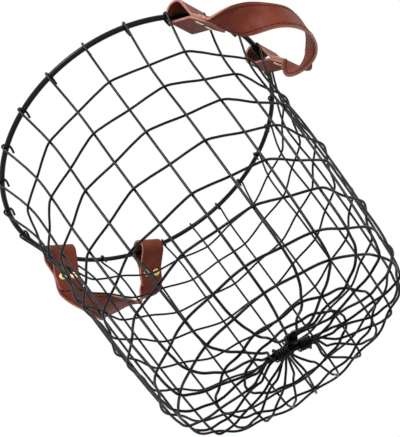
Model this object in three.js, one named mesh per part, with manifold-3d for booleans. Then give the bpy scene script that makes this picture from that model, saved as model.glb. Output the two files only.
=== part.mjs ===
// Wire firewood basket with two riveted leather strap handles.
// Millimetres, +Z up, the floor is z = 0 and the basket's axis is the Z axis.
// Twelve long wires are each bent into a U: hooked over the rim, down the wall, across the base
// through a bound knot and up again. Hoops are woven in and out of them from the rim to the base.
import * as THREE from 'three';
import { mergeVertices } from 'three/addons/utils/BufferGeometryUtils.js';
import Module from 'manifold-3d';

const wasm = await Module();
wasm.setup();

// Overall sizes
const RIM_RADIUS = 150;
const RIM_HEIGHT = 276;
const RIM_WIRE = 5;
const MESH_WIRE = 2.2;
const CLEARANCE = 0.25;

// Long wires and their hooks on the rim
const LONG_WIRES = 12;
const FIRST_UPRIGHT_DEG = 7.5;
const HOOK_TAIL = 8;
const HOOK_SHIFT = 0.6;

// Hoops from the rim down: fall as a part of the wall's height, radius as a part of the rim's.
// The last two lie in the base, and the first of those is the one the basket stands on.
const HOOP_FALL = [0.154, 0.27, 0.392, 0.518, 0.648, 0.771, 0.904, 0.98, 1, 0.994];
const HOOP_SIZE = [0.92, 0.891, 0.876, 0.85, 0.82, 0.787, 0.747, 0.69, 0.495, 0.32];
const GATHER_SIZE = 0.27;
const GATHER_LIFT = 0.4;
const FOOT_HOOP = 8;
const FOOT_CUT = 0.5;
const KINK_EASE = 0.14;
const KINK_PART = 0.14;

// Bound knot at the middle of the base
const KNOT_DEG = 60;
const KNOT_LIFT = 4.5;
const BINDING_WIRE = 1.5;
const BINDING_LOOPS = 5;
const BINDING_GAP = 0.7;
const EYELET_RADIUS = 2.5;

// Strap handles: one at each side, held by two riveted loops round the rim. Each of its two tabs has
// its own droop. From tab to tab the strap bows through three points: out from the hinge line, along
// it and up, the first and last as parts of the reach, the second as a part of half the span between
// the loops. On its way it turns about its own run, by these angles at even steps between the tabs.
const HANDLE_DEG = 7.5;
const RIGHT_DROOP_DEG = [70, 68];
const RIGHT_REACH = 100;
const RIGHT_BOW = [[0.575, -0.5, -0.752], [0.467, 0.39, -0.71], [0.197, 0.726, -0.6]];
const RIGHT_TURN_DEG = [100, 143, 152, 127, 68];
const LEFT_DROOP_DEG = [47, 75];
const LEFT_REACH = 70;
const LEFT_BOW = [[0.72, -0.81, -0.5], [0.72, -0.35, -0.55], [0.24, 0.615, -0.9]];
const LEFT_TURN_DEG = [94, 66, 74, 30, -18];
const STRAP_WIDTH = 28;
const STRAP_THICKNESS = 2.2;
const TAB_LENGTH = 43;
const RIVET_DOWN = 28;
const RIVET_SPACING = 13;
const RIVET_HEAD = 8.6;
const RIVET_SHANK = 4.6;
const RIVET_BORE = 2.8;
const RIVET_LIP = 0.9;
const LOOP_OFF_RIVET = 1;
const BOW_OFF_TAB = 1;

// Fits worked out from the sizes above
const PITCH = MESH_WIRE + CLEARANCE;
const HOOK_RADIUS = (RIM_WIRE + MESH_WIRE) / 2 + CLEARANCE;
const FOOT_LEVEL = MESH_WIRE / 2 - FOOT_CUT + PITCH;
const WALL_HEIGHT = RIM_HEIGHT - FOOT_LEVEL;
const UPRIGHTS = 2 * LONG_WIRES;
const rad = THREE.MathUtils.degToRad;
const uprightAzimuth = (i) => rad(FIRST_UPRIGHT_DEG + (360 / UPRIGHTS) * i);

const wirePaint = new THREE.MeshStandardMaterial({ color: 0x1b1b1c, roughness: 0.45, metalness: 0.5 });
wirePaint.name = 'black_wire';
const leather = new THREE.MeshStandardMaterial({ color: 0x6e3327, roughness: 0.55, metalness: 0 });
leather.name = 'brown_leather';
const brass = new THREE.MeshStandardMaterial({ color: 0xc8aa6e, roughness: 0.3, metalness: 1 });
brass.name = 'brass';

// A wire bent through its points, one straight run from each point to the next.
class BentWire extends THREE.Curve {
  constructor(points, closed = false) {
    super();
    this.points = points;
    this.closed = closed;
    this.spans = closed ? points.length : points.length - 1;
  }

  getUtoTmapping(u) {
    return u;
  }

  corner(i) {
    const n = this.points.length;
    return this.closed ? this.points[((i % n) + n) % n] : this.points[THREE.MathUtils.clamp(i, 0, n - 1)];
  }

  getPoint(t) {
    const along = t * this.spans;
    const i = Math.min(Math.floor(along + 1e-9), this.spans - 1);
    return this.corner(i).clone().lerp(this.corner(i + 1), along - i);
  }

  getTangent(t) {
    const i = Math.round(t * this.spans);
    const before = this.corner(i).clone().sub(this.corner(i - 1)).normalize();
    const after = this.corner(i + 1).clone().sub(this.corner(i)).normalize();
    return before.add(after).normalize();
  }
}

function weld(geometry) {
  geometry.deleteAttribute('normal');
  geometry.deleteAttribute('uv');
  return mergeVertices(geometry, 1e-3);
}

function openWire(points, diameter, sides) {
  const ring = [];
  for (let i = 0; i < sides; i += 1) {
    const a = (2 * Math.PI * (i + 0.5)) / sides;
    ring.push(new THREE.Vector2(Math.cos(a), Math.sin(a)).multiplyScalar(diameter / 2));
  }
  const path = new BentWire(points);
  return weld(new THREE.ExtrudeGeometry(new THREE.Shape(ring), { steps: path.spans, extrudePath: path }));
}

function closedWire(points, diameter, sides) {
  const path = new BentWire(points, true);
  return weld(new THREE.TubeGeometry(path, path.spans, diameter / 2, sides, true));
}

function toManifold(geometry) {
  const welded = weld(geometry);
  return new wasm.Manifold(new wasm.Mesh({
    numProp: 3,
    vertProperties: new Float32Array(welded.attributes.position.array),
    triVerts: new Uint32Array(welded.index.array),
  }));
}

function cutAway(geometry, cutters) {
  let solid = toManifold(geometry);
  for (const cutter of cutters) {
    solid = solid.subtract(toManifold(cutter));
  }
  const mesh = solid.getMesh();
  const result = new THREE.BufferGeometry();
  result.setAttribute('position', new THREE.Float32BufferAttribute(mesh.vertProperties, 3));
  result.setIndex(Array.from(mesh.triVerts));
  return result;
}

const part = new THREE.Group();
part.name = 'wire_firewood_basket';

function place(name, geometry, material) {
  const faceted = geometry.toNonIndexed();
  faceted.computeVertexNormals();
  const mesh = new THREE.Mesh(faceted, material);
  mesh.name = name;
  part.add(mesh);
}

const polar = (radius, azimuth, z) => new THREE.Vector3(
  radius * Math.cos(azimuth),
  radius * Math.sin(azimuth),
  z,
);

// Wall and base profile
// Each entry is a point of an upright's centre line in its own radial plane, x the radius, y the height.
const rimCentre = new THREE.Vector2(RIM_RADIUS, RIM_HEIGHT);
const levels = HOOP_FALL.map((fall, k) => new THREE.Vector2(
  HOOP_SIZE[k] * RIM_RADIUS,
  RIM_HEIGHT - fall * WALL_HEIGHT,
));
const gather = new THREE.Vector2(GATHER_SIZE * RIM_RADIUS, levels[9].y + GATHER_LIFT);

// The upright leaves the first hoop straight for the outside of the rim and meets its hook there.
const toFirstHoop = levels[0].clone().sub(rimCentre);
const hookStart = Math.atan2(toFirstHoop.y, toFirstHoop.x) + Math.acos(HOOK_RADIUS / toFirstHoop.length());
const hookSteps = 6;
const hook = [new THREE.Vector2(RIM_RADIUS - HOOK_RADIUS, RIM_HEIGHT - HOOK_TAIL)];
for (let i = 0; i <= hookSteps; i += 1) {
  const a = Math.PI + ((hookStart - Math.PI) * i) / hookSteps;
  hook.push(rimCentre.clone().add(new THREE.Vector2(Math.cos(a), Math.sin(a)).multiplyScalar(HOOK_RADIUS)));
}

// The corner between wall and base is one smooth curve through the hoops that lie on it.
const cornerCurve = new THREE.CatmullRomCurve3(
  [5, 6, 7, 8, 9].map((k) => new THREE.Vector3(levels[k].x, levels[k].y, 0)),
  false,
  'centripetal',
);
const cornerAt = (t) => {
  const p = cornerCurve.getPoint(t);
  return new THREE.Vector2(p.x, p.y);
};
const cornerParts = 3;
const profile = [...hook, ...levels.slice(0, 6)];
const levelIndex = [0, 1, 2, 3, 4, 5].map((k) => hook.length + k);
for (let k = 6; k <= 9; k += 1) {
  const parts = k === 7 || k === 8 ? cornerParts : 1;
  for (let i = 1; i <= parts; i += 1) {
    profile.push(cornerAt((k - 6 + i / parts) / 4));
  }
  levelIndex.push(profile.length - 1);
}
profile.push(gather);

// Outward normal of the profile at a hoop
function outwardAt(k) {
  const i = levelIndex[k];
  const before = profile[i].clone().sub(profile[i - 1]).normalize();
  const after = profile[i + 1].clone().sub(profile[i]).normalize();
  const along = before.add(after).normalize();
  return new THREE.Vector2(-along.y, along.x);
}

function uprightPoints(azimuth) {
  const sideways = polar(1, azimuth + Math.PI / 2, 0);
  return profile.map((p, i) => {
    const shift = HOOK_SHIFT * Math.max(0, 1 - i / (hook.length - 1));
    return polar(p.x, azimuth, p.y).addScaledVector(sideways, shift);
  });
}

// Knot
// Six wires run along the bar in two layers of three, and six cross over it at a right angle.
const laneAngles = [-37.5, -22.5, -7.5, 7.5, 22.5, 37.5];
const laneColumn = [-1, -1, 0, 0, 1, 1];
const laneLayer = [-0.5, 0.5, -0.5, 0.5, 0.5, -0.5];
const BAR_LEVEL = gather.y + KNOT_LIFT;
const CROSS_LEVEL = BAR_LEVEL + 2 * PITCH;
const BINDING_OFFSET = (MESH_WIRE + BINDING_WIRE) / 2 + CLEARANCE;
const BINDING_PITCH = BINDING_WIRE + BINDING_GAP;
const BINDING_BEND = BINDING_WIRE;
const BINDING_START = PITCH + BINDING_OFFSET + BINDING_BEND;
const BAR_HALF = BINDING_START + BINDING_LOOPS * BINDING_PITCH + BINDING_WIRE;
const CROSS_HALF = PITCH + BINDING_OFFSET + BINDING_WIRE + MESH_WIRE;

function acrossBase(directionDeg, lane, half, level) {
  const a = rad(laneAngles[lane]);
  const side = laneColumn[lane] * PITCH;
  const z = level + laneLayer[lane] * PITCH;
  const start = polar(gather.x, a, gather.y);
  const end = new THREE.Vector3(half, side, z);
  const run = start.x - half;
  const sweep = new THREE.CubicBezierCurve3(
    start,
    start.clone().add(polar(-0.4 * run, a, 0)),
    end.clone().add(new THREE.Vector3(0.45 * run, 0, 0)),
    end,
  );
  const inward = sweep.getPoints(5).slice(1);
  const outward = inward.map((p) => new THREE.Vector3(-p.x, p.y, p.z)).reverse();
  return [...inward, ...outward].map((p) => p.applyAxisAngle(new THREE.Vector3(0, 0, 1), rad(directionDeg)));
}

function longWirePoints(directionDeg, lane, half, level) {
  const there = uprightPoints(rad(directionDeg + laneAngles[lane]));
  const back = uprightPoints(rad(directionDeg + 180 - laneAngles[lane])).reverse();
  return [...there, ...acrossBase(directionDeg, lane, half, level), ...back];
}

// Rim
const rim = new THREE.TorusGeometry(RIM_RADIUS, RIM_WIRE / 2, 8, 3 * UPRIGHTS);
rim.rotateZ(uprightAzimuth(0));
rim.translate(0, 0, RIM_HEIGHT);
place('rim_ring', weld(rim), wirePaint);

// Long wires
for (let lane = 0; lane < LONG_WIRES / 2; lane += 1) {
  const along = longWirePoints(KNOT_DEG, lane, BAR_HALF, BAR_LEVEL);
  const across = longWirePoints(KNOT_DEG + 90, lane, CROSS_HALF, CROSS_LEVEL);
  place(`long_wire_bar_${lane + 1}`, openWire(along, MESH_WIRE, 5), wirePaint);
  place(`long_wire_cross_${lane + 1}`, openWire(across, MESH_WIRE, 5), wirePaint);
}

// Hoops
// A hoop is kinked round the outside of every second upright and passes inside the ones between.
function hoopPoints(k) {
  const at = profile[levelIndex[k]];
  const out = outwardAt(k);
  const inBase = k >= FOOT_HOOP;
  const sideOf = (i) => ((i + k) % 2 === 0 ? 1 : -1);
  const beside = (i, distance) => {
    const p = at.clone().addScaledVector(out, sideOf(i) * distance);
    return polar(p.x, uprightAzimuth(i), p.y);
  };
  const eased = (i) => beside(i, PITCH * (1 + (sideOf(i) > 0 || inBase ? KINK_EASE : 0)));
  const points = [];
  for (let i = 0; i < UPRIGHTS; i += 1) {
    if (sideOf(i) > 0 || inBase) {
      points.push(eased(i).lerp(eased(i - 1), KINK_PART));
      points.push(beside(i, PITCH));
      points.push(eased(i).lerp(eased(i + 1), KINK_PART));
    } else {
      points.push(beside(i, PITCH));
    }
  }
  return points;
}

const belowFloor = new THREE.BoxGeometry(4 * RIM_RADIUS, 4 * RIM_RADIUS, RIM_RADIUS);
belowFloor.translate(0, 0, -RIM_RADIUS / 2);
HOOP_FALL.forEach((_, k) => {
  const hoop = closedWire(hoopPoints(k), MESH_WIRE, 5);
  if (k < FOOT_HOOP) {
    place(`hoop_${k + 1}`, hoop, wirePaint);
  } else if (k === FOOT_HOOP) {
    place('base_ring_foot', cutAway(hoop, [belowFloor]), wirePaint);
  } else {
    place('base_ring_inner', hoop, wirePaint);
  }
});

// Binding
// From the middle the wire goes over the crossing bunch, down its side, round the bar in close
// loops and ends in an eyelet. The other half is the same, turned half round.
function bindingHalf() {
  const top = CROSS_LEVEL + PITCH / 2 + BINDING_OFFSET;
  const side = PITCH + BINDING_OFFSET;
  const reach = Math.hypot(BINDING_START, side);
  const diagonal = (d, z) => new THREE.Vector3((BINDING_START * d) / reach, (side * d) / reach, z);
  const points = [diagonal(0, top)];
  for (let i = 0; i <= 2; i += 1) {
    const a = (Math.PI / 4) * i;
    points.push(diagonal(
      reach - BINDING_BEND * (1 - Math.sin(a)),
      top - BINDING_BEND * (1 - Math.cos(a)),
    ));
  }
  points.push(diagonal(reach, (top + BAR_LEVEL) / 2));
  const stepsPerLoop = 12;
  for (let i = 0; i < BINDING_LOOPS * stepsPerLoop; i += 1) {
    const a = (-2 * Math.PI * (i + 0.5)) / stepsPerLoop;
    const y = Math.sign(Math.cos(a)) * PITCH + BINDING_OFFSET * Math.cos(a);
    const z = BAR_LEVEL + Math.sign(Math.sin(a)) * (PITCH / 2) + BINDING_OFFSET * Math.sin(a);
    points.push(new THREE.Vector3(BINDING_START + (BINDING_PITCH * (i + 0.5)) / stepsPerLoop, y, z));
  }
  const last = BINDING_START + BINDING_LOOPS * BINDING_PITCH;
  for (let i = 0; i <= 8; i += 1) {
    const a = Math.PI + (rad(290) * i) / 8;
    points.push(new THREE.Vector3(
      last + (BINDING_WIRE * i) / 8,
      side + EYELET_RADIUS * (1 + Math.cos(a)),
      BAR_LEVEL + EYELET_RADIUS * Math.sin(a),
    ));
  }
  return points;
}

const oneHalf = bindingHalf();
const otherHalf = oneHalf.slice(1).map((p) => new THREE.Vector3(-p.x, -p.y, p.z)).reverse();
const bindingPoints = [...otherHalf, ...oneHalf]
  .map((p) => p.applyAxisAngle(new THREE.Vector3(0, 0, 1), rad(KNOT_DEG)));

// Least gap of a wound wire to itself, between points further apart along it than half a loop
function leastGap(points, diameter, apart) {
  const path = new THREE.CatmullRomCurve3(points);
  const fine = path.getSpacedPoints(1600);
  const skip = Math.ceil((1600 * apart) / path.getLength());
  let least = Infinity;
  for (let i = 0; i < fine.length; i += 1) {
    for (let j = i + skip; j < fine.length; j += 1) {
      least = Math.min(least, fine[i].distanceTo(fine[j]));
    }
  }
  return least - diameter;
}
const bindingGap = leastGap(bindingPoints, BINDING_WIRE, 2 * (PITCH + BINDING_OFFSET));
console.log(`binding: least gap to itself ${bindingGap.toFixed(2)} mm`);
place('base_binding', openWire(bindingPoints, BINDING_WIRE, 6), wirePaint);

// Handles
// The strap turns freely on the straight line through its two loops. The rim is curved, so the
// loops are wide enough for the rim to cross them slantwise.
// Each loop sits between the first and the second hook counted from the middle of the handle.
const step = (2 * Math.PI) / UPRIGHTS;
const firstHook = (RIM_RADIUS + HOOK_RADIUS) * Math.sin(step) + MESH_WIRE / 2 + HOOK_SHIFT;
const secondHook = (RIM_RADIUS - HOOK_RADIUS) * Math.sin(2 * step) - MESH_WIRE / 2 - HOOK_SHIFT;
const halfChord = (firstHook + secondHook) / 2;
const strapWidth = Math.min(STRAP_WIDTH, secondHook - firstHook - 4 * CLEARANCE);
const rimDistanceAt = (y) => Math.sqrt(RIM_RADIUS ** 2 - y ** 2);
const nearEdge = rimDistanceAt(halfChord - strapWidth / 2);
const farEdge = rimDistanceAt(halfChord + strapWidth / 2);
const HINGE_DISTANCE = (nearEdge + farEdge) / 2;
const slantedRim = (RIM_WIRE / 2) * (RIM_RADIUS / farEdge);
const LOOP_RADIUS = (nearEdge - farEdge) / 2 + slantedRim + CLEARANCE + STRAP_THICKNESS / 2;
const LAYER = (STRAP_THICKNESS + CLEARANCE) / 2;
const TAB_FLAT = RIVET_DOWN - RIVET_HEAD / 2 - LOOP_OFF_RIVET;

// Frame of one tab inside its handle: x down the tab, y along the hinge line, z out of its outer face
function tabFrame(droopDeg, y) {
  const droop = rad(droopDeg);
  const down = new THREE.Vector3(Math.cos(droop), 0, -Math.sin(droop));
  const face = new THREE.Vector3(Math.sin(droop), 0, Math.cos(droop));
  return new THREE.Matrix4().makeBasis(down, new THREE.Vector3(0, 1, 0), face).setPosition(0, y, 0);
}

// Rows of one tab from its cut end round the rim to the rivets in its outer layer. A row has its
// centre, the direction across the width and the direction out of the outer face.
function tabRows(tab) {
  const rows = [];
  const inTab = (x, z, nx, nz) => rows.push({
    centre: new THREE.Vector3(x, 0, z).applyMatrix4(tab),
    width: new THREE.Vector3(0, 1, 0),
    face: new THREE.Vector3(nx, 0, nz).transformDirection(tab),
  });
  const touch = Math.acos((LOOP_RADIUS - LAYER) / TAB_FLAT);
  inTab(TAB_LENGTH, -LAYER, 0, -1);
  inTab(RIVET_DOWN, -LAYER, 0, -1);
  inTab(TAB_FLAT, -LAYER, Math.cos(touch) / 2, -1);
  const loopSteps = 12;
  for (let i = 0; i <= loopSteps; i += 1) {
    const a = -touch - ((2 * Math.PI - 2 * touch) * i) / loopSteps;
    inTab(LOOP_RADIUS * Math.cos(a), LOOP_RADIUS * Math.sin(a), Math.cos(a), Math.sin(a));
  }
  inTab(TAB_FLAT, LAYER, Math.cos(touch) / 2, 1);
  inTab(RIVET_DOWN, LAYER, 0, 1);
  return rows;
}

// Turn of the strap at a part of its way from tab to tab
function turnAt(turnsDeg, part) {
  const turns = [0, ...turnsDeg.map(rad), 0];
  const last = turns.length - 1;
  const at = THREE.MathUtils.clamp(part, 0, 1) * last;
  const i = Math.min(Math.floor(at), last - 1);
  const f = at - i;
  const slope = (k) => (k === 0 || k === last ? 0 : (turns[k + 1] - turns[k - 1]) / 2);
  const ease = f * f * (3 - 2 * f);
  const lead = f * (1 - f) * ((1 - f) * slope(i) - f * slope(i + 1));
  return turns[i] + (turns[i + 1] - turns[i]) * ease + lead;
}

function strapRows(tabs, reach, bow, turnsDeg) {
  const outer = tabs.map((tab) => [RIVET_DOWN, TAB_LENGTH + BOW_OFF_TAB].map(
    (x) => new THREE.Vector3(x, 0, LAYER).applyMatrix4(tab),
  ));
  const between = bow.map(([out, along, up]) => new THREE.Vector3(out * reach, along * halfChord, up * reach));
  const path = new THREE.CatmullRomCurve3(
    [...outer[0], ...between, ...outer[1].reverse()],
    false,
    'centripetal',
  );
  const stepsPerSpan = 6;
  const steps = stepsPerSpan * (path.points.length - 1);
  const run = path.getLengths(steps);
  const leaves = run[stepsPerSpan];
  const meets = run[steps - stepsPerSpan];
  const faces = tabs.map((tab) => new THREE.Vector3(0, 0, 1).transformDirection(tab));
  const rows = tabRows(tabs[0]);
  for (let i = 1; i < steps; i += 1) {
    const along = path.getTangent(i / steps);
    const up = faces[0].clone().lerp(faces[1], run[i] / run[steps]).projectOnPlane(along).normalize();
    const flat = up.clone().cross(along);
    const turn = turnAt(turnsDeg, (run[i] - leaves) / (meets - leaves));
    rows.push({
      centre: path.getPoint(i / steps),
      width: flat.clone().multiplyScalar(Math.cos(turn)).addScaledVector(up, -Math.sin(turn)),
      face: flat.clone().multiplyScalar(Math.sin(turn)).addScaledVector(up, Math.cos(turn)),
    });
  }
  const back = tabRows(tabs[1]).reverse();
  back.forEach((row) => row.width.negate());
  return [...rows, ...back];
}

function strapGeometry(rows) {
  const band = new THREE.BoxGeometry(strapWidth, STRAP_THICKNESS, 1, 2, 1, rows.length - 1);
  const position = band.attributes.position;
  for (let i = 0; i < position.count; i += 1) {
    const row = rows[Math.round((position.getZ(i) + 0.5) * (rows.length - 1))];
    const moved = row.centre.clone()
      .addScaledVector(row.width, position.getX(i))
      .addScaledVector(row.face, position.getY(i));
    position.setXYZ(i, moved.x, moved.y, moved.z);
  }
  return band;
}

// Hollow rivet: a tube with a flange turned over at each end
const rivetHalf = LAYER + STRAP_THICKNESS / 2 + CLEARANCE;
function rivetGeometry() {
  const bore = RIVET_BORE / 2;
  const shank = RIVET_SHANK / 2;
  const head = RIVET_HEAD / 2;
  const outer = rivetHalf + RIVET_LIP;
  const half = [
    new THREE.Vector2(shank, rivetHalf),
    new THREE.Vector2(head, rivetHalf),
    new THREE.Vector2(head - RIVET_LIP / 2, outer - RIVET_LIP / 4),
    new THREE.Vector2((bore + head) / 2, outer),
    new THREE.Vector2(bore, outer - RIVET_LIP / 2),
  ];
  const lower = half.map((p) => new THREE.Vector2(p.x, -p.y)).reverse();
  const rivet = new THREE.LatheGeometry([...lower, ...half, lower[0].clone()], 10);
  rivet.rotateX(Math.PI / 2);
  return rivet;
}

function addHandle(side, azimuthDeg, droopsDeg, reach, bow, turnsDeg) {
  const out = polar(1, rad(azimuthDeg), 0);
  const tangent = polar(1, rad(azimuthDeg) + Math.PI / 2, 0);
  const frame = new THREE.Matrix4().makeBasis(out, tangent, new THREE.Vector3(0, 0, 1));
  frame.setPosition(out.clone().multiplyScalar(HINGE_DISTANCE).setZ(RIM_HEIGHT));

  const tabs = droopsDeg.map((droopDeg, k) => tabFrame(droopDeg, (2 * k - 1) * halfChord));
  const spots = tabs.flatMap((tab) => [-1, 1].map((beside) => tab.clone().multiply(
    new THREE.Matrix4().makeTranslation(RIVET_DOWN, (beside * RIVET_SPACING) / 2, 0),
  )));
  const holes = spots.map((spot) => {
    const hole = new THREE.CylinderGeometry(
      RIVET_SHANK / 2 + CLEARANCE,
      RIVET_SHANK / 2 + CLEARANCE,
      4 * rivetHalf,
      10,
    );
    return hole.rotateX(Math.PI / 2).applyMatrix4(spot);
  });
  const strap = strapGeometry(strapRows(tabs, reach, bow, turnsDeg));
  place(`strap_${side}`, cutAway(strap, holes).applyMatrix4(frame), leather);
  spots.forEach((spot, i) => {
    const rivet = rivetGeometry().applyMatrix4(spot).applyMatrix4(frame);
    place(`rivet_${side}_${i + 1}`, weld(rivet), brass);
  });
}

addHandle('right', HANDLE_DEG, RIGHT_DROOP_DEG, RIGHT_REACH, RIGHT_BOW, RIGHT_TURN_DEG);
addHandle('left', 180 - HANDLE_DEG, LEFT_DROOP_DEG, LEFT_REACH, LEFT_BOW, LEFT_TURN_DEG);

export default part;
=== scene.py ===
# %% [markdown]
# # Wire firewood basket
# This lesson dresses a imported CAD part. The part is a round basket of black steel wire: a stout
# rim rod, long wires hooked over it and gathered in a lashed knot under the base, hoops woven in
# and out of them, and two leather strap handles held by brass rivets. The CAD solids are right in
# place and size but have few sides. Each one is replaced here by a piece with the finish of the
# real thing, at the same place.

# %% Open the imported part
import math

import bpy
from mathutils import Matrix, Vector


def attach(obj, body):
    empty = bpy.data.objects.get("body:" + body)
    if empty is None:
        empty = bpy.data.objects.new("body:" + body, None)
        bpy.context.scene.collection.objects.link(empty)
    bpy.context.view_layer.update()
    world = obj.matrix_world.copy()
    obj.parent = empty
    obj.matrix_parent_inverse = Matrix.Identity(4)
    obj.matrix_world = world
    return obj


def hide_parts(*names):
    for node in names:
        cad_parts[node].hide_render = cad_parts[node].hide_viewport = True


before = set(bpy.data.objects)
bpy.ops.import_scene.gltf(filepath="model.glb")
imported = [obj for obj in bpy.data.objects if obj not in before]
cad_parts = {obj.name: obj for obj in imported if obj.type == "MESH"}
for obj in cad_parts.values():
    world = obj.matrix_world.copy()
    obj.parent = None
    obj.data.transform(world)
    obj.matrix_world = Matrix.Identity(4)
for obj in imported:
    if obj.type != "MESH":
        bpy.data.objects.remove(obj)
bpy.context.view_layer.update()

# %% [markdown]
# ## Camera
# The photo looks at the basket from below its base, as if it lay tipped over on a white table. A
# camera could be placed by eye, but so many wires fix it well, and its place, turn and lens come
# from a fit of all of them. No lens shift is needed.

# %% Photo camera
CAMERA_PLACE = (0.3005, -0.4482, -0.2285)
CAMERA_TURN = [math.radians(a) for a in (132.482, 28.672, 57.287)]
CAMERA_LENS = 59.3
SENSOR_WIDTH = 36
NEAREST_SEEN = 0.01


def start_fresh():
    """Deselect everything, so that the next operator acts on new work only."""
    bpy.ops.object.select_all(action="DESELECT")


start_fresh()
bpy.ops.object.camera_add(location=CAMERA_PLACE, rotation=CAMERA_TURN)
photo_camera = bpy.context.object
photo_camera.name = "photo_camera"
photo_camera.data.sensor_width = SENSOR_WIDTH
photo_camera.data.lens = CAMERA_LENS
photo_camera.data.clip_start = NEAREST_SEEN
bpy.context.scene.camera = photo_camera
bpy.context.scene.view_settings.view_transform = "Standard"
print("camera at", [round(v, 3) for v in photo_camera.location])

# %% [markdown]
# ## White studio
# The photo has a plain white ground and soft light from all round. A white wall behind the basket
# would show from one side only. A sky that is white for what the camera and the gloss see, and a
# little weaker for what it lights, works from every side and doesn't wash out colours.

# %% Rays that see the sky directly
sky = bpy.data.worlds.new("white_studio")
bpy.context.scene.world = sky
sky.use_nodes = True
sky_tree = sky.node_tree
sky_tree.nodes.clear()


def add_node(tree, kind, **settings):
    """Add a node and set its named inputs or its own properties."""
    node = tree.nodes.new(kind)
    for name, value in settings.items():
        if hasattr(node, name):
            setattr(node, name, value)
        else:
            node.inputs[name.replace("_", " ")].default_value = value
    return node


def feed(tree, socket, value):
    """Join a node's input to another node's output, or give it a value of its own."""
    if isinstance(value, bpy.types.NodeSocket):
        tree.links.new(value, socket)
    else:
        socket.default_value = value


def calculate(tree, operation, *values):
    """Result of a Math node that is fed with outputs or plain numbers."""
    node = add_node(tree, "ShaderNodeMath", operation=operation)
    for socket, value in zip(node.inputs, values):
        feed(tree, socket, value)
    return node.outputs[0]


def seen_directly(tree):
    """Factor that is 1 for camera, glossy and transmission rays."""
    ray = add_node(tree, "ShaderNodeLightPath").outputs
    either = calculate(tree, "MAXIMUM", ray["Is Camera Ray"], ray["Is Glossy Ray"])
    return calculate(tree, "MAXIMUM", either, ray["Is Transmission Ray"])


sky_seen = seen_directly(sky_tree)
print("sky has", len(sky_tree.nodes), "nodes so far")

# %% Sky strength
SKY_LIGHT = 0.72
WHITE = (1, 1, 1, 1)
sky_level = add_node(sky_tree, "ShaderNodeMapRange", To_Min=SKY_LIGHT, To_Max=1.0)
feed(sky_tree, sky_level.inputs["Value"], sky_seen)
sky_paint = add_node(sky_tree, "ShaderNodeBackground", Color=WHITE)
feed(sky_tree, sky_paint.inputs["Strength"], sky_level.outputs["Result"])
sky_out = add_node(sky_tree, "ShaderNodeOutputWorld")
feed(sky_tree, sky_out.inputs["Surface"], sky_paint.outputs[0])
print("sky lights at", SKY_LIGHT)

# %% [markdown]
# ## Soft lamps
# Light from all round leaves leather flat. A studio adds a large soft box on the camera's side and
# a weaker one across from it. Area lamps are the same thing in Blender, and they stay weak enough
# that a colour renders about as it is written.

# %% Key lamp and fill lamp
BASKET_MIDDLE = Vector((0, 0, 0.15))


def add_lamp(name, place, size, power):
    """A square area lamp at a place, turned to look at the basket."""
    bpy.ops.object.light_add(type="AREA", location=place)
    lamp = bpy.context.object
    lamp.name = name
    lamp.rotation_euler = (BASKET_MIDDLE - Vector(place)).to_track_quat("-Z", "Y").to_euler()
    lamp.data.size = size
    lamp.data.energy = power
    return lamp


lamps = [
    add_lamp("key_lamp", place=(0.75, -1.4, 0.85), size=0.6, power=26),
    add_lamp("fill_lamp", place=(1.45, 0.85, 0.75), size=0.5, power=6),
]
print("lamps:", [lamp.name for lamp in lamps])

# %% [markdown]
# ## Floor
# The basket stands on a pale floor, which other views need for its shadow. Away from the basket
# the floor turns as white as the sky, so that no horizon shows. The photo's camera is under the
# floor, so its paint lets rays through where they meet the underside.

# %% Floor plane
FLOOR_SIZE = 40
start_fresh()
bpy.ops.mesh.primitive_plane_add(size=FLOOR_SIZE)
floor = bpy.context.object
floor.name = "studio_floor"
print("floor is", floor.dimensions[0], "m wide")

# %% Where the floor turns white
FLOOR_NEAR = 0.35
FLOOR_FAR = 1.1
floor_paint = bpy.data.materials.new("pale_floor")
floor_paint.use_nodes = True
floor_tree = floor_paint.node_tree
floor_tree.nodes.clear()
floor_at = add_node(floor_tree, "ShaderNodeTexCoord")
floor_reach = add_node(floor_tree, "ShaderNodeVectorMath", operation="LENGTH")
feed(floor_tree, floor_reach.inputs[0], floor_at.outputs["Object"])
floor_fade = add_node(
    floor_tree, "ShaderNodeMapRange", interpolation_type="SMOOTHSTEP",
    From_Min=FLOOR_NEAR, From_Max=FLOOR_FAR,
)
feed(floor_tree, floor_fade.inputs["Value"], floor_reach.outputs["Value"])
floor_seen = seen_directly(floor_tree)
floor_glow = calculate(floor_tree, "MULTIPLY", floor_fade.outputs["Result"], floor_seen)
print("floor turns white between", FLOOR_NEAR, "and", FLOOR_FAR, "m from the middle")

# %% Paint of the floor
FLOOR_GREY = (0.86, 0.86, 0.86, 1)


def mix_shaders(tree, factor, first, second):
    """A shader between two others."""
    mix = add_node(tree, "ShaderNodeMixShader")
    for socket, source in zip(mix.inputs, (factor, first, second)):
        feed(tree, socket, source)
    return mix.outputs[0]


floor_side = add_node(floor_tree, "ShaderNodeNewGeometry").outputs["Backfacing"]
floor_near = add_node(floor_tree, "ShaderNodeBsdfDiffuse", Color=FLOOR_GREY).outputs[0]
floor_white = add_node(floor_tree, "ShaderNodeEmission", Color=WHITE, Strength=1.0).outputs[0]
floor_under = add_node(floor_tree, "ShaderNodeBsdfTransparent").outputs[0]
floor_top = mix_shaders(floor_tree, floor_glow, floor_near, floor_white)
floor_both = mix_shaders(floor_tree, floor_side, floor_top, floor_under)
floor_out = add_node(floor_tree, "ShaderNodeOutputMaterial")
feed(floor_tree, floor_out.inputs["Surface"], floor_both)
floor.data.materials.append(floor_paint)
print("material", floor_paint.name)

# %% [markdown]
# ## Shared surface effects
# Paint, leather and brass all vary a little from place to place, and paint and leather both have a
# fine pebbled skin. Each effect is built once as a node group and placed in every material that
# needs it with its own scale and limits. A group only puts out values that change over the
# surface.

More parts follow.
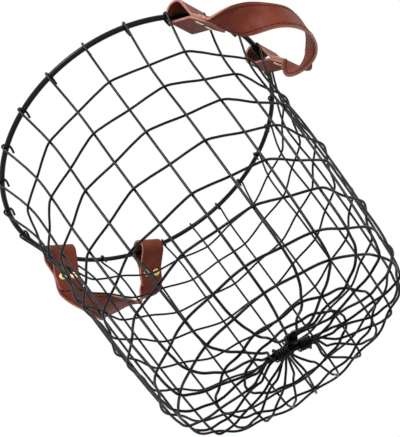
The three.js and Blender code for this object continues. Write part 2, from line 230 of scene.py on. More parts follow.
# %% Mottle: slow change from place to place
NOISE_LOW = 0.3
NOISE_HIGH = 0.7


def new_group(name, inputs, output):
    """An empty shader group with float inputs after a Vector, and one float output."""
    group = bpy.data.node_groups.new(name, "ShaderNodeTree")
    group.interface.new_socket("Vector", in_out="INPUT", socket_type="NodeSocketVector")
    for label, value in inputs.items():
        socket = group.interface.new_socket(label, in_out="INPUT", socket_type="NodeSocketFloat")
        socket.default_value = value
    group.interface.new_socket(output, in_out="OUTPUT", socket_type="NodeSocketFloat")
    return group, group.nodes.new("NodeGroupInput"), group.nodes.new("NodeGroupOutput")


mottle, mottle_in, mottle_out = new_group("mottle", {"Scale": 5, "Low": 0, "High": 1}, "Value")
mottle_noise = add_node(mottle, "ShaderNodeTexNoise", Detail=5.0, Roughness=0.6)
for label in ("Vector", "Scale"):
    feed(mottle, mottle_noise.inputs[label], mottle_in.outputs[label])
mottle_range = add_node(mottle, "ShaderNodeMapRange", From_Min=NOISE_LOW, From_Max=NOISE_HIGH)
feed(mottle, mottle_range.inputs["Value"], mottle_noise.outputs["Fac"])
feed(mottle, mottle_range.inputs["To Min"], mottle_in.outputs["Low"])
feed(mottle, mottle_range.inputs["To Max"], mottle_in.outputs["High"])
feed(mottle, mottle_out.inputs["Value"], mottle_range.outputs["Result"])
print("group", mottle.name)

# %% Pebble: fine raised cells
GRAIN_PER_CELL = 2.3
# Sockets of the two values in a Mix node for floats
FLOAT_A, FLOAT_B = 2, 3
pebble, pebble_in, pebble_out = new_group("pebble", {"Scale": 20, "Fine": 0.3}, "Height")
pebble_cells = add_node(pebble, "ShaderNodeTexVoronoi", feature="SMOOTH_F1", Smoothness=0.6)
pebble_noise = add_node(pebble, "ShaderNodeTexNoise", Detail=3.0, Roughness=0.55)
pebble_wide = calculate(pebble, "MULTIPLY", pebble_in.outputs["Scale"], GRAIN_PER_CELL)
for texture, scale in ((pebble_cells, pebble_in.outputs["Scale"]), (pebble_noise, pebble_wide)):
    feed(pebble, texture.inputs["Vector"], pebble_in.outputs["Vector"])
    feed(pebble, texture.inputs["Scale"], scale)
pebble_mix = add_node(pebble, "ShaderNodeMix", data_type="FLOAT")
feed(pebble, pebble_mix.inputs[0], pebble_in.outputs["Fine"])
feed(pebble, pebble_mix.inputs[FLOAT_A], pebble_cells.outputs["Distance"])
feed(pebble, pebble_mix.inputs[FLOAT_B], pebble_noise.outputs["Fac"])
feed(pebble, pebble_out.inputs["Height"], pebble_mix.outputs[0])
print("group", pebble.name)

# %% [markdown]
# ## Black wire finish
# The wire has a satin black coat with a slight orange-peel skin. One flat black would look like a
# drawn line, so the tone and the gloss both wander a little along each wire.

# %% Start of a material


def new_material(name):
    """A material with one Principled shader; returns the material, its tree and the shader."""
    material = bpy.data.materials.new(name)
    material.use_nodes = True
    return material, material.node_tree, material.node_tree.nodes["Principled BSDF"]


black_coat, coat_tree, coat = new_material("black_coat")
coat_at = add_node(coat_tree, "ShaderNodeTexCoord").outputs["Object"]
print("material", black_coat.name)

# %% Tone, gloss and skin of the black coat
COAT_DARK = (0.001, 0.001, 0.0009, 1)
COAT_LIGHT = (0.003, 0.0028, 0.0026, 1)
COAT_SHINE = 0.17
# Sockets of the two tones and of the result in a Mix node for colours
COLOUR_A, COLOUR_B, COLOUR_OUT = 6, 7, 2


def place_group(tree, group, vector, **values):
    """Put a shared group into a material with its own values; returns its only output."""
    node = add_node(tree, "ShaderNodeGroup", node_tree=group)
    feed(tree, node.inputs["Vector"], vector)
    for label, value in values.items():
        node.inputs[label].default_value = value
    return node.outputs[0]


def blend_tones(tree, factor, dark, light):
    """A colour between two tones, chosen by a factor that changes over the surface."""
    mix = add_node(tree, "ShaderNodeMix", data_type="RGBA")
    for number, value in ((0, factor), (COLOUR_A, dark), (COLOUR_B, light)):
        feed(tree, mix.inputs[number], value)
    return mix.outputs[COLOUR_OUT]


def wandering_tone(tree, vector, dark, light, scale):
    """A colour that wanders between two tones over the surface."""
    return blend_tones(tree, place_group(tree, mottle, vector, Scale=scale), dark, light)


def raise_skin(tree, height, shader, strength, depth):
    """Feed a height into the shader's normal."""
    bump = add_node(tree, "ShaderNodeBump", Strength=strength, Distance=depth)
    feed(tree, bump.inputs["Height"], height)
    feed(tree, shader.inputs["Normal"], bump.outputs["Normal"])


coat_tone = wandering_tone(coat_tree, coat_at, COAT_DARK, COAT_LIGHT, scale=45)
coat_gloss = place_group(coat_tree, mottle, coat_at, Scale=130, Low=0.22, High=0.34)
coat_skin = place_group(coat_tree, pebble, coat_at, Scale=1400, Fine=0.4)
feed(coat_tree, coat.inputs["Base Color"], coat_tone)
feed(coat_tree, coat.inputs["Roughness"], coat_gloss)
coat.inputs["Specular IOR Level"].default_value = COAT_SHINE
raise_skin(coat_tree, coat_skin, coat, strength=0.03, depth=0.0001)
print("black coat has", len(coat_tree.nodes), "nodes")

# %% [markdown]
# ## Sizes
# The same driving sizes as in the CAD source, in millimetres, so every piece lands on its solid.
# The hoops are listed from the rim down: how far each lies below the rim, as a part of the wall's
# height, and how wide it is, as a part of the rim.

# %% Driving sizes
MM = 0.001
RIM_RADIUS = 150
RIM_HEIGHT = 276
RIM_WIRE = 5
MESH_WIRE = 2.2
CLEARANCE = 0.25
LONG_WIRES = 12
UPRIGHTS = 2 * LONG_WIRES
FIRST_UPRIGHT = math.radians(7.5)
UPRIGHT_STEP = 2 * math.pi / UPRIGHTS
HOOP_FALL = [0.154, 0.27, 0.392, 0.518, 0.648, 0.771, 0.904, 0.98, 1, 0.994]
HOOP_SIZE = [0.92, 0.891, 0.876, 0.85, 0.82, 0.787, 0.747, 0.69, 0.495, 0.32]
WALL_HOOPS = 6
FOOT_HOOP = 8
FOOT_CUT = 0.5
PITCH = MESH_WIRE + CLEARANCE
WALL_HEIGHT = RIM_HEIGHT - (MESH_WIRE / 2 - FOOT_CUT + PITCH)
print("wall", round(WALL_HEIGHT, 2), "mm,", UPRIGHTS, "uprights")

# %% [markdown]
# ## Rim rod
# One round rod bent to a ring. A torus would do, but drawing the rod's section once and spinning
# it about the basket's axis is how a ring is turned by hand, and it gives even rows of faces. The
# same helpers make the rivets later.

# %% Section of the rim
RIM_SIDES = 20
start_fresh()
bpy.ops.mesh.primitive_circle_add(
    vertices=RIM_SIDES,
    radius=RIM_WIRE / 2 * MM,
    location=(RIM_RADIUS * MM, 0, RIM_HEIGHT * MM),
    rotation=(math.pi / 2, 0, 0),
)
rim_rod = bpy.context.object
rim_rod.name = "rim_rod"
bpy.ops.object.transform_apply(location=True, rotation=True, scale=True)
print("section of", len(rim_rod.data.vertices), "points")

# %% Spin the rim
RIM_STEPS = 180
SEAM_WIDTH = 1e-6
SMOOTH_ANGLE = math.radians(50)


def edit_all():
    """Go into edit mode with the whole of the active piece selected."""
    bpy.ops.object.mode_set(mode="EDIT")
    bpy.ops.mesh.select_all(action="SELECT")


def spin_round(steps):
    """Spin the active section about the z axis, merge the seam and turn the faces outwards."""
    edit_all()
    bpy.ops.mesh.spin(steps=steps, angle=2 * math.pi, center=(0, 0, 0), axis=(0, 0, 1))
    bpy.ops.mesh.select_all(action="SELECT")
    bpy.ops.mesh.remove_doubles(threshold=SEAM_WIDTH)
    bpy.ops.mesh.normals_make_consistent(inside=False)
    bpy.ops.object.mode_set(mode="OBJECT")
    bpy.ops.object.shade_smooth_by_angle(angle=SMOOTH_ANGLE)


spin_round(RIM_STEPS)
rim_rod.data.materials.append(black_coat)
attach(rim_rod, "basket")
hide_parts("rim_ring")
print("rim", len(rim_rod.data.polygons), "faces")

# %% [markdown]
# ## Profile of the wall
# Every upright follows one curve in its own radial plane: a hook over the rim, a nearly straight
# run down the wall through the hoops, a round corner and a flat run in to the knot. It is drawn
# once as radius and height and used for all twenty-four uprights.

# %% Curve through points
ROUND_OFF = 1e-9


def along_curve(points, t):
    """Place at t, from 0 to 1, on a smooth curve that passes through all the points."""
    inner = [Vector(p) for p in points]
    ends = [2 * inner[0] - inner[1], *inner, 2 * inner[-1] - inner[-2]]
    place = t * (len(inner) - 1)
    i = min(int(place + ROUND_OFF), len(inner) - 2)
    f = place - i
    p0, p1, p2, p3 = ends[i:i + 4]
    d0, d1, d2 = (math.sqrt((b - a).length) for a, b in ((p0, p1), (p1, p2), (p2, p3)))
    m1 = ((p1 - p0) / d0 - (p2 - p0) / (d0 + d1) + (p2 - p1) / d1) * d1
    m2 = ((p2 - p1) / d1 - (p3 - p1) / (d1 + d2) + (p3 - p2) / d2) * d1
    return p1.lerp(p2, f * f * (3 - 2 * f)) + f * (1 - f) * ((1 - f) * m1 - f * m2)


print("a quarter along a right angle:", along_curve(((0, 0), (1, 0), (1, 1)), 0.25))

# %% Hook over the rim
HOOK_TAIL = 8
HOOK_SHIFT = 0.6
HOOK_STEPS = 6
HOOK_RADIUS = (RIM_WIRE + MESH_WIRE) / 2 + CLEARANCE
rim_centre = Vector((RIM_RADIUS, RIM_HEIGHT))
levels = [
    Vector((size * RIM_RADIUS, RIM_HEIGHT - fall * WALL_HEIGHT))
    for fall, size in zip(HOOP_FALL, HOOP_SIZE)
]
to_first = levels[0] - rim_centre
hook_start = math.atan2(to_first.y, to_first.x) + math.acos(HOOK_RADIUS / to_first.length)
hook = [Vector((RIM_RADIUS - HOOK_RADIUS, RIM_HEIGHT - HOOK_TAIL))]
for i in range(HOOK_STEPS + 1):
    a = math.pi + (hook_start - math.pi) * i / HOOK_STEPS
    hook.append(rim_centre + HOOK_RADIUS * Vector((math.cos(a), math.sin(a))))
print("hook has", len(hook), "points")

# %% Wall, corner and base
FOOT_DROP = 0.8
GATHER_SIZE = 0.27
GATHER_LIFT = 0.4
# The hoops that more points lead to, because the profile turns sharply before them
CORNER_PARTS = {7: 3, 8: 3}
levels[FOOT_HOOP].y -= FOOT_DROP
gather = Vector((GATHER_SIZE * RIM_RADIUS, levels[-1].y + GATHER_LIFT))
profile = [*hook, *levels[:WALL_HOOPS]]
level_index = [len(hook) + k for k in range(WALL_HOOPS)]
corner_levels = levels[WALL_HOOPS - 1:]
corner_spans = len(corner_levels) - 1
for k in range(WALL_HOOPS, len(levels)):
    parts = CORNER_PARTS.get(k, 1)
    for i in range(1, parts + 1):
        profile.append(along_curve(corner_levels, (k - WALL_HOOPS + i / parts) / corner_spans))
    level_index.append(len(profile) - 1)
profile.append(gather)
print("profile has", len(profile), "points")

# %% [markdown]
# ## Weave
# A hoop passes outside one upright and inside the next. On the wall the uprights stay straight and
# the hoops take all of the bend, as in the CAD solids. Round the base the two share the step. The
# small inner ring takes only a quarter of it and stays nearly smooth, and the uprights step round
# it.

# %% Who gives way at a crossing
HOOP_SHARE = [1] * WALL_HOOPS + [0.8, 0.6, 0.55, 0.25]


def side_of(i, k):
    """1 where hoop k passes outside upright i, and -1 where it passes inside."""
    return 1 if (i + k) % 2 == 0 else -1


def outward_at(k):
    """Outward normal of the profile where a hoop lies on it."""
    i = level_index[k]
    run = (profile[i] - profile[i - 1]).normalized() + (profile[i + 1] - profile[i]).normalized()
    run.normalize()
    return Vector((-run.y, run.x))


outward = [outward_at(k) for k in range(len(levels))]
print("hoop's part of each crossing, from the rim down:", HOOP_SHARE)

# %% [markdown]
# ## Long wires
# Each long wire is one length, hooked over the rim at both ends. Under the base it is drawn into
# the knot: six wires run along it in two layers and six cross over them. A curve with a round
# section is how a wire is drawn by hand, and turning it into a mesh gives a smooth tube with cut
# ends.

# %% Sizes of the knot
KNOT_TURN = math.radians(60)
KNOT_LIFT = 4.5
BINDING_WIRE = 1.5
BINDING_LOOPS = 5
BINDING_GAP = 0.7
BAR_LEVEL = gather.y + KNOT_LIFT
CROSS_LEVEL = BAR_LEVEL + 2 * PITCH
BINDING_OFFSET = (MESH_WIRE + BINDING_WIRE) / 2 + CLEARANCE
BINDING_PITCH = BINDING_WIRE + BINDING_GAP
BINDING_START = PITCH + BINDING_OFFSET + BINDING_WIRE
BAR_HALF = BINDING_START + BINDING_LOOPS * BINDING_PITCH + BINDING_WIRE
CROSS_HALF = PITCH + BINDING_OFFSET + BINDING_WIRE + MESH_WIRE
print("knot is", round(2 * BAR_HALF, 1), "by", round(2 * CROSS_HALF, 1), "mm")

# %% Route of an upright
GATHER_EASE = 0.7


def polar(radius, azimuth, z):
    """A point from its distance to the axis, its angle and its height."""
    return Vector((radius * math.cos(azimuth), radius * math.sin(azimuth), z))


def upright_points(azimuth):
    """The profile stood up at one angle round the basket, giving way to each hoop."""
    sideways = polar(1, azimuth + math.pi / 2, 0)
    upright = round((azimuth - FIRST_UPRIGHT) / UPRIGHT_STEP)
    bent = [p.copy() for p in profile]
    for k, n in enumerate(level_index):
        step = outward[k] * side_of(upright, k) * PITCH * (1 - HOOP_SHARE[k])
        bent[n] -= step
    # The step round the last ring dies out slowly towards the knot
    bent[-1] -= step * GATHER_EASE
    last = len(hook) - 1
    return [
        polar(p.x, azimuth, p.y) + sideways * HOOK_SHIFT * max(0, 1 - i / last)
        for i, p in enumerate(bent)
    ]


print("upright has", len(upright_points(FIRST_UPRIGHT)), "points")

# %% Route through the knot
LANE_ANGLES = [math.radians(a) for a in (-37.5, -22.5, -7.5, 7.5, 22.5, 37.5)]
LANE_COLUMN = [-1, -1, 0, 0, 1, 1]
LANE_LAYER = [-0.5, 0.5, -0.5, 0.5, 0.5, -0.5]
FAN_PART = 0.4
LANE_PART = 0.45
LANE_STEPS = 5


def across_base(direction, lane, half, level):
    """From the gathering circle into the wire's own lane of the knot, and out on the other side."""
    angle = LANE_ANGLES[lane]
    start = polar(gather.x, angle, gather.y)
    end = Vector((half, LANE_COLUMN[lane] * PITCH, level + LANE_LAYER[lane] * PITCH))
    run = start.x - half
    first = start + polar(-FAN_PART * run, angle, 0)
    second = end + Vector((LANE_PART * run, 0, 0))
    coming = []
    for i in range(1, LANE_STEPS + 1):
        t = i / LANE_STEPS
        coming.append(
            (1 - t) ** 3 * start + 3 * (1 - t) ** 2 * t * first
            + 3 * (1 - t) * t * t * second + t ** 3 * end
        )
    going = [Vector((-p.x, p.y, p.z)) for p in reversed(coming)]
    turn = Matrix.Rotation(direction, 3, "Z")
    return [turn @ p for p in coming + going]


def long_wire_points(direction, lane, half, level):
    """Up one side, through the knot and up the other side."""
    there = upright_points(direction + LANE_ANGLES[lane])
    back = upright_points(direction + math.pi - LANE_ANGLES[lane])
    return there + across_base(direction, lane, half, level) + back[::-1]


print("run through the knot has", 2 * LANE_STEPS, "points")

# %% Bend a wire
WIRE_ROUNDNESS = 4
WIRE_FINENESS = 4


def bend_wire(name, points, diameter, closed=False, fineness=WIRE_FINENESS):
    """Draw a smooth curve through points in millimetres and give it a round section."""
    start_fresh()
    bpy.ops.curve.primitive_bezier_curve_add()
    wire = bpy.context.object
    wire.name = name
    wire.data.dimensions = "3D"
    spline = wire.data.splines[0]
    spline.bezier_points.add(len(points) - len(spline.bezier_points))
    for knot, point in zip(spline.bezier_points, points):
        knot.handle_left_type = knot.handle_right_type = "AUTO"
        knot.co = point * MM
    spline.use_cyclic_u = closed
    spline.resolution_u = fineness
    wire.data.bevel_depth = diameter / 2 * MM
    wire.data.bevel_resolution = WIRE_ROUNDNESS
    wire.data.use_fill_caps = True
    bpy.ops.object.convert(target="MESH")
    bpy.ops.object.shade_smooth_by_angle(angle=SMOOTH_ANGLE)
    wire.data.materials.append(black_coat)
    return wire


print("wires have", 2 * (WIRE_ROUNDNESS + 2), "sides")

# %% Twelve long wires


def hang_on_basket(piece, node):
    """The piece moves with the basket and stands for a CAD node of coated wire."""
    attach(piece, "basket")
    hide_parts(node)


for lane in range(LONG_WIRES // 2):
    along = long_wire_points(KNOT_TURN, lane, BAR_HALF, BAR_LEVEL)
    bar_wire = bend_wire(f"bar_wire_{lane + 1}", along, MESH_WIRE)
    hang_on_basket(bar_wire, f"long_wire_bar_{lane + 1}")
    across = long_wire_points(KNOT_TURN + math.pi / 2, lane, CROSS_HALF, CROSS_LEVEL)
    cross_wire = bend_wire(f"cross_wire_{lane + 1}", across, MESH_WIRE)
    hang_on_basket(cross_wire, f"long_wire_cross_{lane + 1}")
print("long wires:", LONG_WIRES)

# %% [markdown]
# ## Woven hoops
# A wall hoop is nearly straight where it passes inside an upright and bends round the outside of
# the next one, so it gets two points beside each outer crossing to round that bend. One point at
# each crossing is enough for the rings round the base: a smooth curve through them lies in an easy
# wave. The basket stands on the low places of the foot ring, and a bisect cuts them flat, as the
# CAD solid has them.

# %% Points of a hoop
BEND_PART = 0.32
BEND_EASE = 0.55


def hoop_points(k):
    """The wave of hoop k round all the uprights."""

    def beside(i, distance):
        p = profile[level_index[k]] + outward[k] * distance
        return polar(p.x, FIRST_UPRIGHT + UPRIGHT_STEP * i, p.y)

    step = PITCH * HOOP_SHARE[k]
    points = []
    for i in range(UPRIGHTS):
        if k < WALL_HOOPS and side_of(i, k) > 0:
            corner = beside(i, step * (1 + BEND_EASE))
            points.append(corner.lerp(beside(i - 1, -step), BEND_PART))
            points.append(beside(i, step))
            points.append(corner.lerp(beside(i + 1, -step), BEND_PART))
        else:
            points.append(beside(i, side_of(i, k) * step))
    return points


print("a wall hoop has", len(hoop_points(0)), "points, the foot ring", len(hoop_points(FOOT_HOOP)))

# %% Ten hoops, and flats under the one that carries the basket
HOOP_FINENESS = 6
hoop_nodes = [f"hoop_{k + 1}" for k in range(FOOT_HOOP)] + ["base_ring_foot", "base_ring_inner"]
for k, node in enumerate(hoop_nodes):
    hoop = bend_wire(
        f"woven_{node}", hoop_points(k), MESH_WIRE, closed=True, fineness=HOOP_FINENESS
    )
    if k == FOOT_HOOP:
        edit_all()
        bpy.ops.mesh.bisect(
            plane_co=(0, 0, 0), plane_no=(0, 0, 1),
            threshold=SEAM_WIDTH, use_fill=True, clear_inner=True,
        )
        bpy.ops.object.mode_set(mode="OBJECT")
    hang_on_basket(hoop, node)
print("hoops:", len(hoop_nodes))

# %% [markdown]
# ## Lashing of the knot
# A thinner wire goes over the crossing, down its side, round the bundle in close loops and ends in
# a small eyelet, and the same again on the other side. It is one curve from eyelet to eyelet, so
# half of it is drawn and turned round for the other half.

# %% Over the crossing and down its side
CORNER_STEPS = 2
LASHING_SIDE = PITCH + BINDING_OFFSET


def over_crossing():
    """From the middle of the crossing to where the loops begin."""
    top = CROSS_LEVEL + PITCH / 2 + BINDING_OFFSET
    reach = math.hypot(BINDING_START, LASHING_SIDE)

    def diagonal(d, z):
        return Vector((BINDING_START * d / reach, LASHING_SIDE * d / reach, z))

    points = [diagonal(0, top)]
    for i in range(CORNER_STEPS + 1):
        a = math.pi / 2 * i / CORNER_STEPS
        points.append(diagonal(
            reach - BINDING_WIRE * (1 - math.sin(a)),
            top - BINDING_WIRE * (1 - math.cos(a)),
        ))
    points.append(diagonal(reach, (top + BAR_LEVEL) / 2))
    return points


print("over the crossing:", len(over_crossing()), "points")

# %% Loops and eyelet
TURN_STEPS = 12
EYELET_RADIUS = 2.5
EYELET_TURN = math.radians(290)
EYELET_STEPS = 8


def round_bundle(a):
    """How far a loop lies beside and above the middle of a bundle, at an angle round it."""
    return (
        math.copysign(PITCH, math.cos(a)) + BINDING_OFFSET * math.cos(a),
        math.copysign(PITCH / 2, math.sin(a)) + BINDING_OFFSET * math.sin(a),
    )


def loops_and_eyelet():
    """Close loops along the bar, and the small open ring that the wire ends in."""
    points = []
    for i in range(BINDING_LOOPS * TURN_STEPS):
        part = (i + 0.5) / TURN_STEPS
        beside, above = round_bundle(-2 * math.pi * part)
        points.append(Vector((BINDING_START + BINDING_PITCH * part, beside, BAR_LEVEL + above)))
    last = BINDING_START + BINDING_LOOPS * BINDING_PITCH
    for i in range(EYELET_STEPS + 1):
        a = math.pi + EYELET_TURN * i / EYELET_STEPS
        points.append(Vector((
            last + BINDING_WIRE * i / EYELET_STEPS,
            LASHING_SIDE + EYELET_RADIUS * (1 + math.cos(a)),
            BAR_LEVEL + EYELET_RADIUS * math.sin(a),
        )))
    return points


print("loops and eyelet:", len(loops_and_eyelet()), "points")

# %% Lashing wire
LASHING_FINENESS = 3
knot_spin = Matrix.Rotation(KNOT_TURN, 3, "Z")


def bind_knot(name, points):
    """A thin wire that is drawn square to the knot and turned with it."""
    turned = [knot_spin @ p for p in points]
    return bend_wire(name, turned, BINDING_WIRE, fineness=LASHING_FINENESS)


one_half = over_crossing() + loops_and_eyelet()
other_half = [Vector((-p.x, -p.y, p.z)) for p in reversed(one_half[1:])]
lashing = bind_knot("knot_lashing", other_half + one_half)
hang_on_basket(lashing, "base_binding")
print("lashing", len(lashing.data.polygons), "faces")

# %% [markdown]
# ## Wraps round the crossing wires
# The photo's knot is also bound across the bar, where the six crossing wires leave it. Two short
# turns of the same thin wire on each side give that. They stand for no solid, so they only ride on
# the basket.

# %% Wraps on both sides of the bar
WRAP_STARTS = 5.4
WRAP_LOOPS = 2


def wrap_points(sign):
    """Loops round the six crossing wires on one side of the bar."""
    points = []
    for i in range(WRAP_LOOPS * TURN_STEPS + 1):
        beside, above = round_bundle(2 * math.pi * i / TURN_STEPS)
        out = sign * (WRAP_STARTS + BINDING_PITCH * i / TURN_STEPS)
        points.append(Vector((beside, out, CROSS_LEVEL + above)))
    return points


for number, sign in enumerate((-1, 1), 1):
    wrap = bind_knot(f"crossing_wrap_{number}", wrap_points(sign))
    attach(wrap, "basket")
print("wraps:", number)

# %% [markdown]
# ## Leather
# The straps are smooth oiled leather, red-brown, with a fine grain and slow changes of tone. A
# dark line runs along both edges where the stitching is let in. The grain has to follow the strap
# round its bends, so the nodes read the strap's own map, in strap widths, and not its place in
# space.

# %% Channel of the stitching
STRAP_MAP = "strap_map"
STRAP_WIDTH = 28
STITCH_INSET = 3.2
MAP_EDGE = 0.5
CHANNEL_CORE = 0.01
CHANNEL_REACH = 0.032


def stitch_channel(tree, uv):
    """Mask of two narrow lines, one beside each edge of the strap."""
    split = add_node(tree, "ShaderNodeSeparateXYZ")
    feed(tree, split.inputs[0], uv)
    side = calculate(tree, "ABSOLUTE", split.outputs[0])
    off = calculate(tree, "SUBTRACT", side, MAP_EDGE - STITCH_INSET / STRAP_WIDTH)
    line = add_node(
        tree, "ShaderNodeMapRange", interpolation_type="SMOOTHSTEP",
        From_Min=CHANNEL_CORE, From_Max=CHANNEL_REACH, To_Min=1.0, To_Max=0.0,
    )
    feed(tree, line.inputs["Value"], calculate(tree, "ABSOLUTE", off))
    return line.outputs["Result"]


leather_face, face_tree, face = new_material("leather_face")
strap_uv = add_node(face_tree, "ShaderNodeUVMap", uv_map=STRAP_MAP).outputs["UV"]
face_channel = stitch_channel(face_tree, strap_uv)
print("channel reaches", round(CHANNEL_REACH * STRAP_WIDTH, 2), "mm to each side")

# %% Face of the leather
FACE_DARK = (0.09, 0.0165, 0.0085, 1)
FACE_LIGHT = (0.157, 0.0335, 0.0185, 1)
CHANNEL_TONE = (0.06, 0.012, 0.008, 1)
FACE_SHINE = 0.1
face_tone = wandering_tone(face_tree, strap_uv, FACE_DARK, FACE_LIGHT, scale=1.6)
face_lined = blend_tones(face_tree, face_channel, face_tone, CHANNEL_TONE)
face_gloss = place_group(face_tree, mottle, strap_uv, Scale=7, Low=0.46, High=0.62)
face_grain = place_group(face_tree, pebble, strap_uv, Scale=34, Fine=0.45)
feed(face_tree, face.inputs["Base Color"], face_lined)
feed(face_tree, face.inputs["Roughness"], face_gloss)
face.inputs["Specular IOR Level"].default_value = FACE_SHINE
face_sunk = calculate(face_tree, "SUBTRACT", face_grain, face_channel)
raise_skin(face_tree, face_sunk, face, strength=0.2, depth=0.0002)
print("material", leather_face.name)

# %% [markdown]
# ## Cut edge and thread
# The cut edge of a strap is paler and rougher than its face, and its paler tone is partly a
# painted highlight along the edges. The thread is dark and waxed. Both are too narrow for a map of
# their own to show, so their tones follow the place in space.

# %% Cut edge
# Pale edge tones: the leather's own cut edge, and a painted highlight along it
EDGE_DARK = (0.21, 0.07, 0.048, 1)
EDGE_LIGHT_AND_HIGHLIGHT = (0.36, 0.15, 0.115, 1)
EDGE_ROUGHNESS = 0.7
leather_edge, edge_tree, edge = new_material("leather_edge")
edge_at = add_node(edge_tree, "ShaderNodeTexCoord").outputs["Object"]
edge_tone_and_painted_highlight = wandering_tone(edge_tree, edge_at, EDGE_DARK, EDGE_LIGHT_AND_HIGHLIGHT, scale=420)
edge_skin = place_group(edge_tree, pebble, edge_at, Scale=1500, Fine=0.8)
feed(edge_tree, edge.inputs["Base Color"], edge_tone_and_painted_highlight)
edge.inputs["Roughness"].default_value = EDGE_ROUGHNESS
raise_skin(edge_tree, edge_skin, edge, strength=0.5, depth=0.0002)
print("material", leather_edge.name)

# %% Thread
THREAD_DARK = (0.032, 0.008, 0.005, 1)
THREAD_LIGHT = (0.07, 0.017, 0.011, 1)
THREAD_ROUGHNESS = 0.6
THREAD_SHINE = 0.12
waxed_thread, thread_tree, thread = new_material("waxed_thread")
thread_at = add_node(thread_tree, "ShaderNodeTexCoord").outputs["Object"]
thread_tone = wandering_tone(thread_tree, thread_at, THREAD_DARK, THREAD_LIGHT, scale=900)
feed(thread_tree, thread.inputs["Base Color"], thread_tone)
thread.inputs["Roughness"].default_value = THREAD_ROUGHNESS
thread.inputs["Specular IOR Level"].default_value = THREAD_SHINE
print("material", waxed_thread.name)

# %% [markdown]
# ## Strap handles
# Each handle is one strap. Both ends are folded round the rim and riveted back on themselves, and
# between them the strap bows out and turns about its own run. A cloth simulation would settle in
# some other shape than the photo's, so the strap is laid as a flat grid and wrapped along rows
# that follow the same rule as the CAD solid, only closer together. The bow's rows are then eased,
# as leather does by itself, and Solidify gives the strap its thickness.

# %% Sizes of the straps
STRAP_THICKNESS = 2.2
TAB_LENGTH = 43
RIVET_DOWN = 28
RIVET_HEAD = 8.6
LOOP_OFF_RIVET = 1
LAYER = (STRAP_THICKNESS + CLEARANCE) / 2
TAB_FLAT = RIVET_DOWN - RIVET_HEAD / 2 - LOOP_OFF_RIVET
# For each handle: its side of the basket, how far its two tabs hang, how far the bow reaches in
# millimetres, how far the strap turns about its run from tab to tab, and three points of the bow:
# outwards, along the hinge line and upwards, as parts of the reach and of half the span.
HANDLES = {
    "right": {
        "azimuth": 7.5, "droops": (70, 68), "reach": 100, "turns": (100, 143, 152, 127, 68),
        "bow": ((0.575, -0.5, -0.752), (0.467, 0.39, -0.71), (0.197, 0.726, -0.6)),
    },
    "left": {
        "azimuth": 172.5, "droops": (47, 75), "reach": 70, "turns": (94, 66, 74, 30, -18),
        "bow": ((0.72, -0.81, -0.5), (0.72, -0.35, -0.55), (0.24, 0.615, -0.9)),
    },
}
print("tabs are flat from", round(TAB_FLAT, 1), "to", TAB_LENGTH, "mm below the rim")

# %% Where the loops sit on the rim
first_hook = (RIM_RADIUS + HOOK_RADIUS) * math.sin(UPRIGHT_STEP) + MESH_WIRE / 2 + HOOK_SHIFT
second_hook = (RIM_RADIUS - HOOK_RADIUS) * math.sin(2 * UPRIGHT_STEP) - MESH_WIRE / 2 - HOOK_SHIFT
HALF_SPAN = (first_hook + second_hook) / 2
strap_width = min(STRAP_WIDTH, second_hook - first_hook - 4 * CLEARANCE)


def rim_distance_at(y):
    """How far the rim is from the basket's middle plane, at a distance along the hinge line."""
    return math.sqrt(RIM_RADIUS ** 2 - y ** 2)


near_edge = rim_distance_at(HALF_SPAN - strap_width / 2)
far_edge = rim_distance_at(HALF_SPAN + strap_width / 2)
HINGE_DISTANCE = (near_edge + far_edge) / 2
LOOP_RADIUS = (
    (near_edge - far_edge) / 2 + RIM_WIRE / 2 * RIM_RADIUS / far_edge
    + CLEARANCE + STRAP_THICKNESS / 2
)


def handle_frame(handle):
    """Where the handle's hinge line is on the rim."""
    a = math.radians(handle["azimuth"])
    place = polar(1, a, 0) * HINGE_DISTANCE + Vector((0, 0, RIM_HEIGHT))
    return Matrix.Translation(place) @ Matrix.Rotation(a, 4, "Z")


print("loops", round(2 * HALF_SPAN, 1), "mm apart, radius", round(LOOP_RADIUS, 2))

# %% Rows of a tab
TAB_STEPS = 8
LOOP_STEPS = 36


def tab_frame(droop, y):
    """Frame of a tab in its handle: x down the tab, y along the hinge line, z out of its face."""
    a = math.radians(droop)
    return Matrix((
        (math.cos(a), 0, math.sin(a), 0),
        (0, 1, 0, y),
        (-math.sin(a), 0, math.cos(a), 0),
        (0, 0, 0, 1),
    ))


def tab_rows(tab):
    """Rows from a tab's cut end round the rim to the rivets.

    A row is its centre, its direction across the strap and its direction out of the face.
    """
    rows = []

    def in_tab(x, z, nx, nz):
        out = (tab.to_3x3() @ Vector((nx, 0, nz))).normalized()
        rows.append((tab @ Vector((x, 0, z)), Vector((0, 1, 0)), out))

    touch = math.acos((LOOP_RADIUS - LAYER) / TAB_FLAT)
    for i in range(TAB_STEPS + 1):
        in_tab(TAB_LENGTH + (RIVET_DOWN - TAB_LENGTH) * i / TAB_STEPS, -LAYER, 0, -1)
    in_tab(TAB_FLAT, -LAYER, math.cos(touch) / 2, -1)
    for i in range(LOOP_STEPS + 1):
        a = -touch - (2 * math.pi - 2 * touch) * i / LOOP_STEPS
        in_tab(LOOP_RADIUS * math.cos(a), LOOP_RADIUS * math.sin(a), math.cos(a), math.sin(a))
    in_tab(TAB_FLAT, LAYER, math.cos(touch) / 2, 1)
    in_tab(RIVET_DOWN, LAYER, 0, 1)
    return rows


print("a tab has", len(tab_rows(tab_frame(0, 0))), "rows")

# %% Turn of the bow


